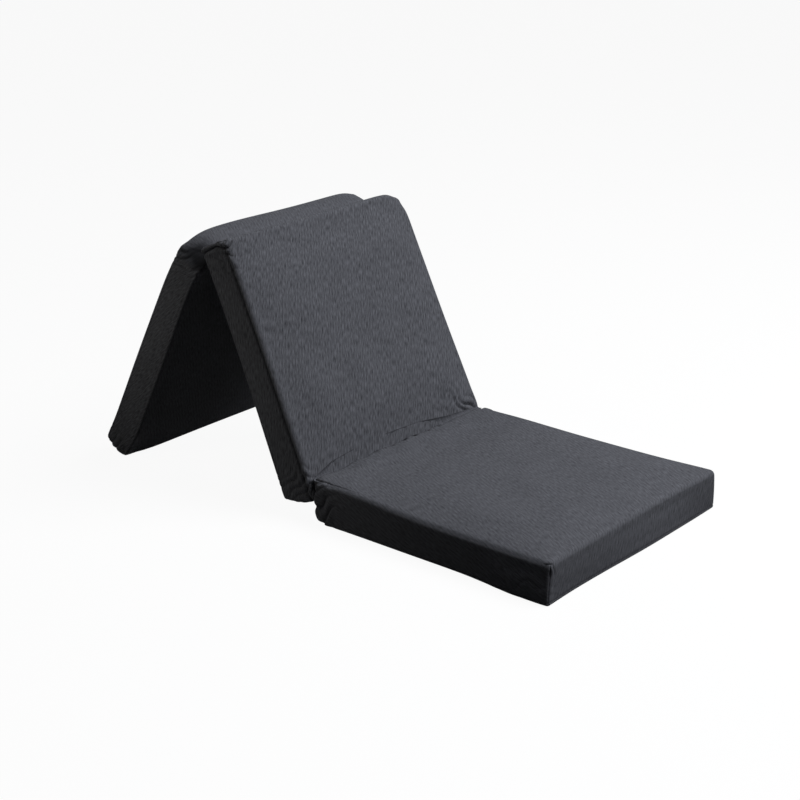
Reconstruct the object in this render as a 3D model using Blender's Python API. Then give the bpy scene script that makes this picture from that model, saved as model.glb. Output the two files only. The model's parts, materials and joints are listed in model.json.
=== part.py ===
"""Folding mattress: three zipped foam sections on two sewn webs, stood up as a seat with a tent back.

Metres, +Z up. +X runs from the first fold to the free end of the section that lies on the floor, and
+Y across the width. The origin is at the centre of the underside of the section on the floor.

Every section is modelled lying flat in its own frame: x from 0 to SECTION_LENGTH, y across, z up from
its underside. The first fold turns about a line just above the top faces, the second about a line just
below the undersides. A web bridges from one section to each fold line, and the other section reaches
on past the line into the room beside the web, so it drops behind its neighbour when it is folded.
"""

import math

import bmesh
import bpy
from mathutils import Matrix, Vector

# Sizes of one section
SECTION_LENGTH = 0.640
SECTION_WIDTH = 0.600
SECTION_HEIGHT = 0.092
CROWN_RISE = 0.007
CROWN_RUN = 0.190
CROWN_SIDE_MARGIN = 0.012
DRAW_IN = 0.005
BULGE_SHARE = 0.7
DRAW_POWER = 4
CORNER_RADIUS = 0.012
EDGE_RADIUS = 0.009

# Cloth and fits
COVER_CLOTH = 0.0012
WEB_CLOTH = 0.0012
SEAT_GAP = 0.0003
FOAM_GAP = 0.0006

# Folds
FRONT_WEB_WIDTH = 0.036
RIDGE_WEB_WIDTH = 0.038
WEB_FLANGE = 0.022
WEB_SIDE_MARGIN = 0.004
SEAM_STRIP_WIDTH = 0.012
BACK_LEAN = math.radians(22.4)

# Zip in the far side of each cover
ZIP_END_INSET = 0.105
ZIP_TAPE_WIDTH = 0.010
ZIP_HEIGHT_ABOVE_HEM = 0.014
ZIP_FOAM_ROOM = 0.0032
TOOTH_PITCH = 0.0075
TOOTH_WIDTH = 0.0034
TOOTH_REACH = 0.0018
TOOTH_SPINE = 0.0012
CHAIN_SLIT = 0.0012
CHAIN_PROUD = 0.0006
CHAIN_DEPTH = 0.0024
STOP_LENGTH = 0.004
SLIDER_LENGTH = 0.013
SLIDER_PLATE = 0.0010
SLIDER_LIP = 0.0012
SLIDER_BLADE = 0.0006
SLIDER_RUN_GAP = 0.0004
BAIL_BAR = 0.0012
BAIL_WIDTH = 0.0024
PULL_BAR = 0.0016
PULL_SIDE_BAR = 0.0016
PULL_TAIL = 0.020
PULL_TIP_SHARE = 0.7

# Mesh counts and tolerances
LENGTH_CELLS = 10
WIDTH_CELLS = 8
ROUND_SEGMENTS = 2
ARC_SEGMENTS = 8
SMOOTH_ANGLE = math.radians(40.0)
CUT_TOLERANCE = 0.01 * SEAT_GAP

# Places that follow from the sizes
HALF_WIDTH = 0.5 * SECTION_WIDTH
RIM_HEIGHT = COVER_CLOTH + SEAT_GAP
HINGE_OFFSET = WEB_CLOTH + 2.0 * SEAT_GAP
END_GAP = WEB_CLOTH + 3.0 * SEAT_GAP
FRONT_REACH = FRONT_WEB_WIDTH - END_GAP
RIDGE_REACH = RIDGE_WEB_WIDTH - END_GAP
WEB_HALF_WIDTH = HALF_WIDTH - CORNER_RADIUS - WEB_SIDE_MARGIN
CROWN_END_MARGIN = max(FRONT_REACH, RIDGE_REACH) + SEAM_STRIP_WIDTH + EDGE_RADIUS
ZIP_HALF_LENGTH = 0.5 * SECTION_LENGTH - ZIP_END_INSET
SLOT_HALF_LENGTH = ZIP_HALF_LENGTH + STOP_LENGTH + 3.0 * SEAT_GAP
CHAIN_HALF = 0.5 * CHAIN_SLIT + TOOTH_REACH + TOOTH_SPINE
TAPE_EDGE = CHAIN_HALF + SEAT_GAP
SLOT_HALF_HEIGHT = TAPE_EDGE + ZIP_TAPE_WIDTH + SEAT_GAP
ZIP_HEIGHT = RIM_HEIGHT + ZIP_HEIGHT_ABOVE_HEM + SLOT_HALF_HEIGHT
SLIDER_TOP = CHAIN_PROUD + SLIDER_RUN_GAP + SLIDER_PLATE
BAIL_INNER = 0.5 * math.sqrt(2.0) * PULL_BAR + SLIDER_RUN_GAP
BAIL_OUTER = BAIL_INNER + BAIL_BAR
PULL_AXIS_OUT = SLIDER_TOP + BAIL_INNER


def clear_scene():
    for old in list(bpy.data.objects):
        bpy.data.objects.remove(old, do_unlink=True)


def material(name, colour, roughness, metallic=0.0):
    made = bpy.data.materials.new(name)
    made.use_nodes = True
    shader = made.node_tree.nodes["Principled BSDF"]
    shader.inputs["Base Color"].default_value = (*colour, 1.0)
    shader.inputs["Roughness"].default_value = roughness
    shader.inputs["Metallic"].default_value = metallic
    made.diffuse_color = (*colour, 1.0)
    return made


def make_surfaces():
    return {
        "cover": material("cover cloth", (0.075, 0.077, 0.086), 0.85),
        "base": material("underside cloth", (0.030, 0.030, 0.033), 0.90),
        "web": material("web cloth", (0.060, 0.061, 0.068), 0.85),
        "foam": material("foam", (0.78, 0.74, 0.60), 0.95),
        "tape": material("zip tape", (0.030, 0.030, 0.033), 0.85),
        "teeth": material("zip teeth", (0.022, 0.022, 0.024), 0.45),
        "metal": material("zip metal", (0.060, 0.060, 0.065), 0.40, 0.8),
    }


def finish_mesh(name, mesh_data, surface, parent, smooth=False):
    """Turns the bmesh into a named object, with its faces pointing out."""
    bmesh.ops.recalc_face_normals(mesh_data, faces=mesh_data.faces)
    mesh = bpy.data.meshes.new(name)
    mesh_data.to_mesh(mesh)
    mesh_data.free()
    if smooth:
        mesh.shade_smooth()
        mesh.set_sharp_from_angle(angle=SMOOTH_ANGLE)
    made = bpy.data.objects.new(name, mesh)
    made.data.materials.append(surface)
    made.parent = parent
    bpy.context.scene.collection.objects.link(made)
    return made


def extrude_outline(name, outline, depth, surface, parent):
    """Closes the outline, a list of 3-D points, and pushes it along depth."""
    mesh_data = bmesh.new()
    face = mesh_data.faces.new([mesh_data.verts.new(point) for point in outline])
    pushed = bmesh.ops.extrude_face_region(mesh_data, geom=[face])
    moved = [item for item in pushed["geom"] if isinstance(item, bmesh.types.BMVert)]
    bmesh.ops.translate(mesh_data, verts=moved, vec=Vector(depth))
    return finish_mesh(name, mesh_data, surface, parent)


def box_mesh(low, high):
    """A plain box between two opposite corners, in bmesh."""
    mesh_data = bmesh.new()
    bmesh.ops.create_cube(mesh_data, size=1.0)
    bmesh.ops.scale(mesh_data, verts=mesh_data.verts, vec=Vector(high) - Vector(low))
    bmesh.ops.translate(mesh_data, verts=mesh_data.verts, vec=0.5 * (Vector(high) + Vector(low)))
    return mesh_data


def empty(name, matrix, parent=None):
    made = bpy.data.objects.new(name, None)
    bpy.context.scene.collection.objects.link(made)
    made.parent = parent
    made.matrix_local = matrix
    return made


def eased(value):
    """0 below 0, 1 above 1 and a smooth S between."""
    value = min(max(value, 0.0), 1.0)
    return value * value * (3.0 - 2.0 * value)


def crown_at(x, y):
    """Rise of the top face: flat by the ends, where the webs are sewn, and full in the middle."""
    from_end = min(x, SECTION_LENGTH - x) - CROWN_END_MARGIN
    from_side = HALF_WIDTH - abs(y) - CROWN_SIDE_MARGIN
    return CROWN_RISE * eased(from_end / CROWN_RUN) * eased(from_side / CROWN_RUN)


def stuffed(point, drawn_ends):
    """Moves a point of the plain box onto the stuffed form.

    The top rises to its crown. The near side and each free end are drawn in between their corners,
    most at the hem and at the top edge, with the foam's bulge between.
    """
    x, y, z = point
    along = min(max(x / SECTION_LENGTH, 0.0), 1.0)
    across = min(max(y / SECTION_WIDTH + 0.5, 0.0), 1.0)
    up = min(max(z / SECTION_HEIGHT, 0.0), 1.0)
    draw = DRAW_IN * (1.0 - BULGE_SHARE * math.sin(math.pi * up))
    near_share = max(1.0 - 2.0 * across, 0.0) ** DRAW_POWER
    low_share = drawn_ends[0] * max(1.0 - 2.0 * along, 0.0) ** DRAW_POWER
    high_share = drawn_ends[1] * max(2.0 * along - 1.0, 0.0) ** DRAW_POWER
    moved_x = x + draw * math.sin(math.pi * across) * (low_share - high_share)
    moved_y = y + draw * math.sin(math.pi * along) * near_share
    return Vector((moved_x, moved_y, z + crown_at(x, y) * eased(2.0 * up - 1.0)))


def cuts_between(low, high, cells, others=()):
    """Even places between two ends, less any that crowd one of the others, which are kept."""
    even = [low + (high - low) * step / cells for step in range(1, cells)]
    free = [place for place in even if all(abs(place - other) > EDGE_RADIUS for other in others)]
    return sorted(free + list(others))


def cut_at(mesh_data, axis, places):
    """Cuts the whole mesh at each place along one axis, so that its faces can bend there."""
    for place in places:
        geometry = list(mesh_data.verts) + list(mesh_data.edges) + list(mesh_data.faces)
        bmesh.ops.bisect_plane(
            mesh_data, geom=geometry, dist=CUT_TOLERANCE,
            plane_co=place * Vector(axis), plane_no=Vector(axis),
        )


def section_cuts(mesh_data):
    slot_ends = (0.5 * SECTION_LENGTH - SLOT_HALF_LENGTH, 0.5 * SECTION_LENGTH + SLOT_HALF_LENGTH)
    cut_at(mesh_data, (1.0, 0.0, 0.0), cuts_between(0.0, SECTION_LENGTH, LENGTH_CELLS, slot_ends))
    cut_at(mesh_data, (0.0, 1.0, 0.0), cuts_between(-HALF_WIDTH, HALF_WIDTH, WIDTH_CELLS))
    cut_at(mesh_data, (0.0, 0.0, 1.0), (ZIP_HEIGHT - SLOT_HALF_HEIGHT, ZIP_HEIGHT + SLOT_HALF_HEIGHT))


def rounded_box(low, high, corner_radius, edge_radius):
    """A box with round upright corners and soft top edges, in bmesh."""
    mesh_data = box_mesh(low, high)
    upright = [
        edge for edge in mesh_data.edges
        if abs(edge.verts[0].co.z - edge.verts[1].co.z) > edge_radius
    ]
    bmesh.ops.bevel(
        mesh_data, geom=upright, offset=corner_radius, offset_type="OFFSET",
        segments=ROUND_SEGMENTS, profile=0.5, affect="EDGES",
    )
    upper = [
        edge for edge in mesh_data.edges
        if min(vert.co.z for vert in edge.verts) > high[2] - SEAT_GAP
    ]
    bmesh.ops.bevel(
        mesh_data, geom=upper, offset=edge_radius, offset_type="OFFSET",
        segments=ROUND_SEGMENTS, profile=0.5, affect="EDGES",
    )
    return mesh_data


def faces_below(mesh_data):
    return [face for face in mesh_data.faces if face.normal.z < -0.5]


def in_slot(face):
    """Whether a face of the cover lies in the zip's slot."""
    middle = face.calc_center_median()
    in_length = abs(middle.x - 0.5 * SECTION_LENGTH) < SLOT_HALF_LENGTH
    in_height = abs(middle.z - ZIP_HEIGHT) < SLOT_HALF_HEIGHT
    return in_length and in_height and middle.y > HALF_WIDTH - SEAT_GAP


def make_cover(name, drawn_ends, surface, parent):
    """The top and four sides in one cloth: an open tub with a crowned top and the zip's slot."""
    low = (0.0, -HALF_WIDTH, RIM_HEIGHT)
    high = (SECTION_LENGTH, HALF_WIDTH, SECTION_HEIGHT)
    mesh_data = rounded_box(low, high, CORNER_RADIUS, EDGE_RADIUS)
    bmesh.ops.delete(mesh_data, geom=faces_below(mesh_data), context="FACES_ONLY")
    section_cuts(mesh_data)
    slot = [face for face in mesh_data.faces if in_slot(face)]
    bmesh.ops.delete(mesh_data, geom=slot, context="FACES")
    for vert in mesh_data.verts:
        vert.co = stuffed(vert.co, drawn_ends)
    made = finish_mesh(name, mesh_data, surface, parent, smooth=True)
    wall = made.modifiers.new("wall", "SOLIDIFY")
    wall.thickness = COVER_CLOTH
    wall.offset = -1.0
    wall.use_even_offset = True
    return made


def make_foam(name, drawn_ends, surface, parent):
    """The foam block, which fills the cover and is cut back a little behind the zip."""
    inset = COVER_CLOTH + FOAM_GAP
    low = (inset, -HALF_WIDTH + inset, RIM_HEIGHT)
    high = (SECTION_LENGTH - inset, HALF_WIDTH - inset - ZIP_FOAM_ROOM, SECTION_HEIGHT - inset)
    mesh_data = rounded_box(low, high, CORNER_RADIUS - inset, EDGE_RADIUS - inset)
    section_cuts(mesh_data)
    bmesh.ops.dissolve_faces(mesh_data, faces=faces_below(mesh_data))
    for vert in mesh_data.verts:
        vert.co = stuffed(vert.co, drawn_ends)
    return finish_mesh(name, mesh_data, surface, parent, smooth=True)


def make_base(name, drawn_ends, surface, parent):
    """The underside sheet, sewn to the cover's hem all the way round: its outline follows the hem."""
    low = (0.0, -HALF_WIDTH, 0.0)
    high = (SECTION_LENGTH, HALF_WIDTH, SECTION_HEIGHT)
    mesh_data = rounded_box(low, high, CORNER_RADIUS, EDGE_RADIUS)
    section_cuts(mesh_data)
    bmesh.ops.dissolve_faces(mesh_data, faces=faces_below(mesh_data))
    above = [vert for vert in mesh_data.verts if vert.co.z > SEAT_GAP]
    bmesh.ops.delete(mesh_data, geom=above, context="VERTS")
    for vert in mesh_data.verts:
        vert.co = stuffed(vert.co, drawn_ends)
    pushed = bmesh.ops.extrude_face_region(mesh_data, geom=list(mesh_data.faces))
    moved = [item for item in pushed["geom"] if isinstance(item, bmesh.types.BMVert)]
    bmesh.ops.translate(mesh_data, verts=moved, vec=Vector((0.0, 0.0, COVER_CLOTH)))
    return finish_mesh(name, mesh_data, surface, parent)


def make_web(name, end_x, fold_x, face_z, up, surface, parent):
    """A sewn web: a flange on the section's end face, then a flap to the fold line.

    end_x is the end face, fold_x the fold line, face_z the face that the fold turns over, and up
    is +1 for a fold above the top and -1 for a fold below the underside.
    """
    away = math.copysign(1.0, fold_x - end_x)
    inner = end_x + away * SEAT_GAP
    outer = inner + away * WEB_CLOTH
    lower = face_z + up * SEAT_GAP
    upper = lower + up * WEB_CLOTH
    tip = fold_x - away * SEAT_GAP
    reach = face_z - up * WEB_FLANGE
    near = -WEB_HALF_WIDTH
    outline = [
        (inner, near, reach), (inner, near, upper), (tip, near, upper),
        (tip, near, lower), (outer, near, lower), (outer, near, reach),
    ]
    return extrude_outline(name, outline, (0.0, 2.0 * WEB_HALF_WIDTH, 0.0), surface, parent)


def make_seam_strip(name, fold_x, away, face_z, up, surface, parent):
    """The narrow strip of the web that is sewn flat on the other section's face."""
    near = fold_x + away * SEAT_GAP
    far = near + away * SEAM_STRIP_WIDTH
    lower = face_z + up * SEAT_GAP
    upper = lower + up * WEB_CLOTH
    low = (min(near, far), -WEB_HALF_WIDTH, min(lower, upper))
    high = (max(near, far), WEB_HALF_WIDTH, max(lower, upper))
    return finish_mesh(name, box_mesh(low, high), surface, parent)


def tooth_row(side, first_share):
    """One row of teeth in the wall's plane: a straight spine and square teeth up to the slit."""
    spine_far = side * CHAIN_HALF
    spine_near = side * (CHAIN_HALF - TOOTH_SPINE)
    tip = side * 0.5 * CHAIN_SLIT
    count = int(2.0 * ZIP_HALF_LENGTH / TOOTH_PITCH) - 1
    points = [(-ZIP_HALF_LENGTH, spine_far), (-ZIP_HALF_LENGTH, spine_near)]
    for index in range(count):
        start = -ZIP_HALF_LENGTH + TOOTH_PITCH * (index + first_share)
        end = start + TOOTH_WIDTH
        points += [(start, spine_near), (start, tip), (end, tip), (end, spine_near)]
    return points + [(ZIP_HALF_LENGTH, spine_near), (ZIP_HALF_LENGTH, spine_far)]


def make_tapes_and_teeth(section, surfaces, place):
    for side, label, first_share in ((-1.0, "lower", 0.25), (1.0, "upper", 0.75)):
        heights = sorted((side * TAPE_EDGE, side * (TAPE_EDGE + ZIP_TAPE_WIDTH)))
        half = SLOT_HALF_LENGTH - SEAT_GAP
        tape = box_mesh((-half, -COVER_CLOTH, heights[0]), (half, 0.0, heights[1]))
        finish_mesh(f"{section}_zip_tape_{label}", tape, surfaces["tape"], place)
        outline = [(x, CHAIN_PROUD, z) for x, z in tooth_row(side, first_share)]
        depth = (0.0, -CHAIN_DEPTH, 0.0)
        extrude_outline(f"{section}_zip_teeth_{label}", outline, depth, surfaces["teeth"], place)


def make_stops(section, ahead, surface, place):
    """One stop across both rows at the closed end, and one on each row at the other end."""
    start = ZIP_HALF_LENGTH + SEAT_GAP
    end = start + STOP_LENGTH
    back = CHAIN_PROUD - CHAIN_DEPTH
    edge = 0.5 * CHAIN_SLIT
    stops = (
        ("closed", ahead, -CHAIN_HALF, CHAIN_HALF),
        ("open_lower", -ahead, -CHAIN_HALF, -edge),
        ("open_upper", -ahead, edge, CHAIN_HALF),
    )
    for label, way, low_z, high_z in stops:
        ends = sorted((way * start, way * end))
        mesh_data = box_mesh((ends[0], back, low_z), (ends[1], CHAIN_PROUD, high_z))
        finish_mesh(f"{section}_zip_stop_{label}", mesh_data, surface, place)


def slider_section():
    """The slider cut across: two plates with turned-in lips, joined by a blade in the slit."""
    chain_front = CHAIN_PROUD + SLIDER_RUN_GAP
    chain_back = CHAIN_PROUD - CHAIN_DEPTH - SLIDER_RUN_GAP
    front = chain_front + SLIDER_PLATE
    back = chain_back - SLIDER_PLATE
    inside = CHAIN_HALF + SLIDER_RUN_GAP
    outside = inside + SLIDER_LIP
    front_lip = SLIDER_RUN_GAP
    back_lip = -COVER_CLOTH - SLIDER_RUN_GAP
    blade = 0.5 * SLIDER_BLADE
    upper_half = [
        (front, outside), (front_lip, outside), (front_lip, inside), (chain_front, inside),
        (chain_front, blade), (chain_back, blade), (chain_back, inside), (back_lip, inside),
        (back_lip, outside), (back, outside),
    ]
    return upper_half + [(y, -z) for y, z in reversed(upper_half)]


def bail_outline():
    """The arch on the slider that holds the pull, seen along the pull's axis."""
    foot = SLIDER_TOP - 0.5 * SLIDER_PLATE
    turns = [math.pi * index / ARC_SEGMENTS for index in range(ARC_SEGMENTS + 1)]
    outer = [(BAIL_OUTER * math.cos(t), PULL_AXIS_OUT + BAIL_OUTER * math.sin(t)) for t in turns]
    inner = [(BAIL_INNER * math.cos(t), PULL_AXIS_OUT + BAIL_INNER * math.sin(t)) for t in turns]
    feet = [(-BAIL_OUTER, foot), (-BAIL_INNER, foot)]
    return [(BAIL_OUTER, foot)] + outer + feet + inner[::-1] + [(BAIL_INNER, foot)]


def make_slider(section, surface, carrier):
    """A captive slider with its bail."""
    outline = [(-0.5 * SLIDER_LENGTH, y, z) for y, z in slider_section()]
    depth = (SLIDER_LENGTH, 0.0, 0.0)
    made = extrude_outline(f"{section}_zip_slider", outline, depth, surface, carrier)
    arch = [(x, y, -0.5 * BAIL_WIDTH) for x, y in bail_outline()]
    bail = extrude_outline(f"{section}_bail_guide", arch, (0.0, 0.0, BAIL_WIDTH), surface, carrier)
    bail.hide_render = True
    bail.display_type = "WIRE"
    join = made.modifiers.new("bail", "BOOLEAN")
    join.operation = "UNION"
    join.solver = "EXACT"
    join.object = bail
    return made


def make_pull(section, ahead, surface, axis):
    """The pull: a bar under the bail, two side bars past it and a tail that narrows."""
    bar = 0.5 * PULL_BAR
    eye_half = 0.5 * BAIL_WIDTH + SLIDER_RUN_GAP
    outer_half = eye_half + PULL_SIDE_BAR
    eye_end = BAIL_OUTER + SLIDER_RUN_GAP
    tail_start = eye_end + PULL_SIDE_BAR
    tail_end = tail_start + PULL_TAIL
    tip_half = PULL_TIP_SHARE * outer_half
    rim = [
        (-bar, -outer_half), (tail_start, -outer_half), (tail_end, -tip_half),
        (tail_end, tip_half), (tail_start, outer_half), (-bar, outer_half),
    ]
    eye = [(bar, -eye_half), (eye_end, -eye_half), (eye_end, eye_half), (bar, eye_half)]
    mesh_data = bmesh.new()
    rim = [mesh_data.verts.new((ahead * x, -bar, z)) for x, z in rim]
    eye = [mesh_data.verts.new((ahead * x, -bar, z)) for x, z in eye]
    mesh_data.faces.new((rim[0], rim[1], eye[1], eye[0]))
    mesh_data.faces.new((rim[1], rim[2], rim[3], rim[4], eye[2], eye[1]))
    mesh_data.faces.new((rim[4], rim[5], eye[3], eye[2]))
    mesh_data.faces.new((rim[5], rim[0], eye[0], eye[3]))
    pushed = bmesh.ops.extrude_face_region(mesh_data, geom=list(mesh_data.faces))
    moved = [item for item in pushed["geom"] if isinstance(item, bmesh.types.BMVert)]
    bmesh.ops.translate(mesh_data, verts=moved, vec=Vector((0.0, PULL_BAR, 0.0)))
    return finish_mesh(f"{section}_zip_pull", mesh_data, surface, axis)


def make_zip(section, ahead, surfaces, parent):
    """The whole zip in the far wall, run shut. ahead is +1 or -1, towards its closed end."""
    centre = Matrix.Translation((0.5 * SECTION_LENGTH, HALF_WIDTH, ZIP_HEIGHT))
    place = empty(f"{section}_zip_place", centre, parent)
    make_tapes_and_teeth(section, surfaces, place)
    make_stops(section, ahead, surfaces["metal"], place)
    shut = ahead * (ZIP_HALF_LENGTH - 0.5 * SLIDER_LENGTH)
    carrier = empty(f"{section}_slider_place", Matrix.Translation((shut, 0.0, 0.0)), place)
    make_slider(section, surfaces["metal"], carrier)
    axis = empty(f"{section}_pull_axis", Matrix.Translation((0.0, PULL_AXIS_OUT, 0.0)), carrier)
    make_pull(section, ahead, surfaces["metal"], axis)


def make_section(section, drawn_ends, ahead, surfaces, parent):
    make_foam(f"{section}_foam_core", drawn_ends, surfaces["foam"], parent)
    make_cover(f"{section}_cover", drawn_ends, surfaces["cover"], parent)
    make_base(f"{section}_cover_base", drawn_ends, surfaces["base"], parent)
    make_zip(section, ahead, surfaces, parent)


def turned(place, angle):
    return Matrix.Translation(place) @ Matrix.Rotation(angle, 4, "Y")


def rear_turn(ridge_height):
    """The rear section's turn, from flat, at which its lower inner edge stands on the floor."""
    leg = SECTION_LENGTH + RIDGE_WEB_WIDTH
    reach = math.hypot(leg, HINGE_OFFSET)
    lean = math.acos(ridge_height / reach) - math.atan2(HINGE_OFFSET, leg)
    return lean - 0.5 * math.pi


def main():
    clear_scene()
    surfaces = make_surfaces()

    front = empty("front_place", Matrix.Translation((-0.5 * SECTION_LENGTH, 0.0, 0.0)))
    make_section("front", (0.0, 1.0), 1.0, surfaces, front)
    make_web("front_web", 0.0, -FRONT_WEB_WIDTH, SECTION_HEIGHT, 1.0, surfaces["web"], front)

    middle_turn = 0.5 * math.pi - BACK_LEAN
    fold_height = SECTION_HEIGHT + HINGE_OFFSET
    fold_place = (-0.5 * SECTION_LENGTH - FRONT_WEB_WIDTH, 0.0, fold_height)
    fold_axis = empty("front_fold_axis", turned(fold_place, middle_turn))
    middle_start = FRONT_REACH - SECTION_LENGTH
    middle = empty("middle_place", Matrix.Translation((middle_start, 0.0, -fold_height)), fold_axis)
    make_section("middle", (0.0, 0.0), 1.0, surfaces, middle)
    middle_fold = SECTION_LENGTH - FRONT_REACH
    make_seam_strip("middle_fold_strip", middle_fold, -1.0, SECTION_HEIGHT, 1.0, surfaces["web"], middle)
    make_seam_strip("middle_ridge_strip", RIDGE_REACH, 1.0, 0.0, -1.0, surfaces["web"], middle)

    ridge_x = middle_start + RIDGE_REACH
    ridge_z = -fold_height - HINGE_OFFSET
    ridge_height = fold_height - ridge_x * math.sin(middle_turn) + ridge_z * math.cos(middle_turn)
    rear_fold = rear_turn(ridge_height) - middle_turn
    ridge_axis = empty("ridge_fold_axis", turned((ridge_x, 0.0, ridge_z), rear_fold), fold_axis)
    rear_start = -RIDGE_WEB_WIDTH - SECTION_LENGTH
    rear = empty("rear_place", Matrix.Translation((rear_start, 0.0, HINGE_OFFSET)), ridge_axis)
    make_section("rear", (1.0, 0.0), -1.0, surfaces, rear)
    web_end = SECTION_LENGTH + RIDGE_WEB_WIDTH
    make_web("rear_web", SECTION_LENGTH, web_end, 0.0, -1.0, surfaces["web"], rear)


main()
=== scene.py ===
import json
import math

import bpy
import numpy as np
from mathutils import Matrix


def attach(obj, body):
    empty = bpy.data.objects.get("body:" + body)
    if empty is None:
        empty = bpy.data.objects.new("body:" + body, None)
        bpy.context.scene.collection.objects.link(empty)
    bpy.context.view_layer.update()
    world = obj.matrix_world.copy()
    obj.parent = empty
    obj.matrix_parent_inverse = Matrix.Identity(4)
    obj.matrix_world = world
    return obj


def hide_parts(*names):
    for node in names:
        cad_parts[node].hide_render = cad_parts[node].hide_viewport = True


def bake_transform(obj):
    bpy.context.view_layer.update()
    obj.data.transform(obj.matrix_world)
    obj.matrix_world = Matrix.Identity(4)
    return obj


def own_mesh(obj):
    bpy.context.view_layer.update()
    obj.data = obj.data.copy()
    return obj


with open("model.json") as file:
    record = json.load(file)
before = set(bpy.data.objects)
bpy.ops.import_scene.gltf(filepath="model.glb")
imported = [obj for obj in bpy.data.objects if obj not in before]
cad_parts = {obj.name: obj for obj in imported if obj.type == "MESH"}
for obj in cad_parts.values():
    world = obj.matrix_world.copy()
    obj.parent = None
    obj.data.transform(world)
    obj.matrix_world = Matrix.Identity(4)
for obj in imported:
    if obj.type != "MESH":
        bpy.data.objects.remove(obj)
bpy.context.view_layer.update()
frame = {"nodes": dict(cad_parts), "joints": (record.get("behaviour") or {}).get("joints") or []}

joints = {joint["name"]: joint for joint in frame["joints"]}
print("frame loaded:", len(frame["nodes"]), "nodes")

# One section, lying in its own frame: x along it, y across, z up from its underside (metres)
section = {
    "length": 0.640,
    "width": 0.600,
    "height": 0.092,
    "cornerRadius": 0.013,
    "topRadius": 0.013,
    "hemAcross": 0.006,
    "hemRadius": 0.005,
    "crownRise": 0.010,
    "crownRun": 0.110,
    "crownMargin": 0.004,
    "crownFoldMargin": 0.040,
    "drawIn": 0.003,
    "bulgeShare": 0.7,
    "drawPower": 4,
    "frontReach": 0.0339,    # how far the middle section reaches past the first fold line
    "ridgeWeb": 0.038,       # from the rear section's end to the ridge's fold line
    "foldOffset": 0.0018,    # fold lines lie this far outside the cloth
}


# Rest frame of a section: origin, x direction and z direction, worked out from the joints. The zip
# slides along the section, so its axis gives x, and z is x turned a quarter up.
def sectionPlace(name):
    length, height = section["length"], section["height"]
    if name == "front":
        return np.array([-0.5 * length, 0.0, 0.0]), np.array([1.0, 0.0, 0.0]), np.array([0.0, 0.0, 1.0])
    sign = -1.0 if name == "middle" else 1.0
    along = sign * np.array(joints[name + "_zip_run"]["axis"], float)
    along = along / np.linalg.norm(along)
    up = np.array([-along[2], 0.0, along[0]])
    if name == "middle":
        fold = np.array(joints["front_fold"]["pos_m"], float)
        reach = length - section["frontReach"]
        return fold - reach * along - (height + section["foldOffset"]) * up, along, up
    fold = np.array(joints["ridge_fold"]["pos_m"], float)
    return fold - (length + section["ridgeWeb"]) * along + section["foldOffset"] * up, along, up


# 3t^2 - 2t^3 between 0 and 1
def eased(value):
    value = np.clip(value, 0.0, 1.0)
    return value * value * (3.0 - 2.0 * value)


# exp(-((value - centre) / spread)^2)
def bump(value, centre, spread):
    return np.exp(-((value - centre) / spread) ** 2)


# exp(-sum(((point - at) / spread)^2)), for rows of points
def blob(points, at, spread):
    return np.exp(-(((points - np.array(at)) / np.array(spread)) ** 2).sum(axis=1))


# How a ripple's waves differ: the step from one wave to the next, and the shift that a seed gives.
# The steps are the golden angle and shares, which never fall in step with each other.
waveSteps = {"turn": 2.399963, "length": 0.618034, "phase": 0.754878}
seedShifts = {"turn": 1.7, "length": 0.37, "phase": 0.569840}
waveSpan = (0.75, 0.6)       # a wave's length is 0.75 to 1.35 wavelengths


# Sum over count plane waves of sin(2 pi (u, v) . way / length + phase), over sqrt(count)
def ripple(u, v, wavelength, seed, count=9):
    k = np.arange(count)
    turn = waveSteps["turn"] * k + seedShifts["turn"] * seed
    spread = (waveSteps["length"] * k + seedShifts["length"] * seed) % 1.0
    length = wavelength * (waveSpan[0] + waveSpan[1] * spread)
    phase = 2.0 * math.pi * ((waveSteps["phase"] * k + seedShifts["phase"] * seed) % 1.0)
    across = np.multiply.outer(u, np.cos(turn) / length) + np.multiply.outer(v, np.sin(turn) / length)
    return np.sin(2.0 * math.pi * across + phase).sum(-1) / math.sqrt(count)


# Places from low to high. The step at a distance d from either end is
# fine + (coarse - fine) min(d / run, 1), and the two halves are stretched to meet.
def spacedPlaces(low, high, fine, coarse, run):
    half = [0.0]
    middle = 0.5 * (high - low)
    while half[-1] < middle:
        share = min(half[-1] / run, 1.0)
        half.append(half[-1] + fine + (coarse - fine) * share)
    half = np.array(half) * middle / half[-1]
    return np.concatenate([low + half, (high - half[:-1])[::-1]])


# Surface of a box lattice: the places of its points, its quads, all facing out, and their sides.
# Sides: 0 top, 1 underside, 2 near side (y low), 3 far side, 4 start end (x low), 5 far end.
def boxLattice(xs, ys, zs):
    nx, ny, nz = len(xs), len(ys), len(zs)
    onShell = np.zeros((nx, ny, nz), bool)
    onShell[[0, -1], :, :] = True
    onShell[:, [0, -1], :] = True
    onShell[:, :, [0, -1]] = True
    number = np.full((nx, ny, nz), -1, int)
    number[onShell] = np.arange(onShell.sum())
    i, j, k = np.nonzero(onShell)
    points = np.stack([xs[i], ys[j], zs[k]], axis=1)
    sheets = [
        (number[:, :, -1], 0), (number[:, :, 0].T, 1),
        (number[:, 0, :], 2), (number[:, -1, :].T, 3),
        (number[0, :, :].T, 4), (number[-1, :, :], 5),
    ]
    quads, sides = [], []
    for grid, side in sheets:
        quad = np.stack([grid[:-1, :-1], grid[1:, :-1], grid[1:, 1:], grid[:-1, 1:]], axis=-1)
        quads.append(quad.reshape(-1, 4))
        sides.append(np.full(len(quads[-1]), side))
    return points, np.concatenate(quads), np.concatenate(sides)


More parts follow.
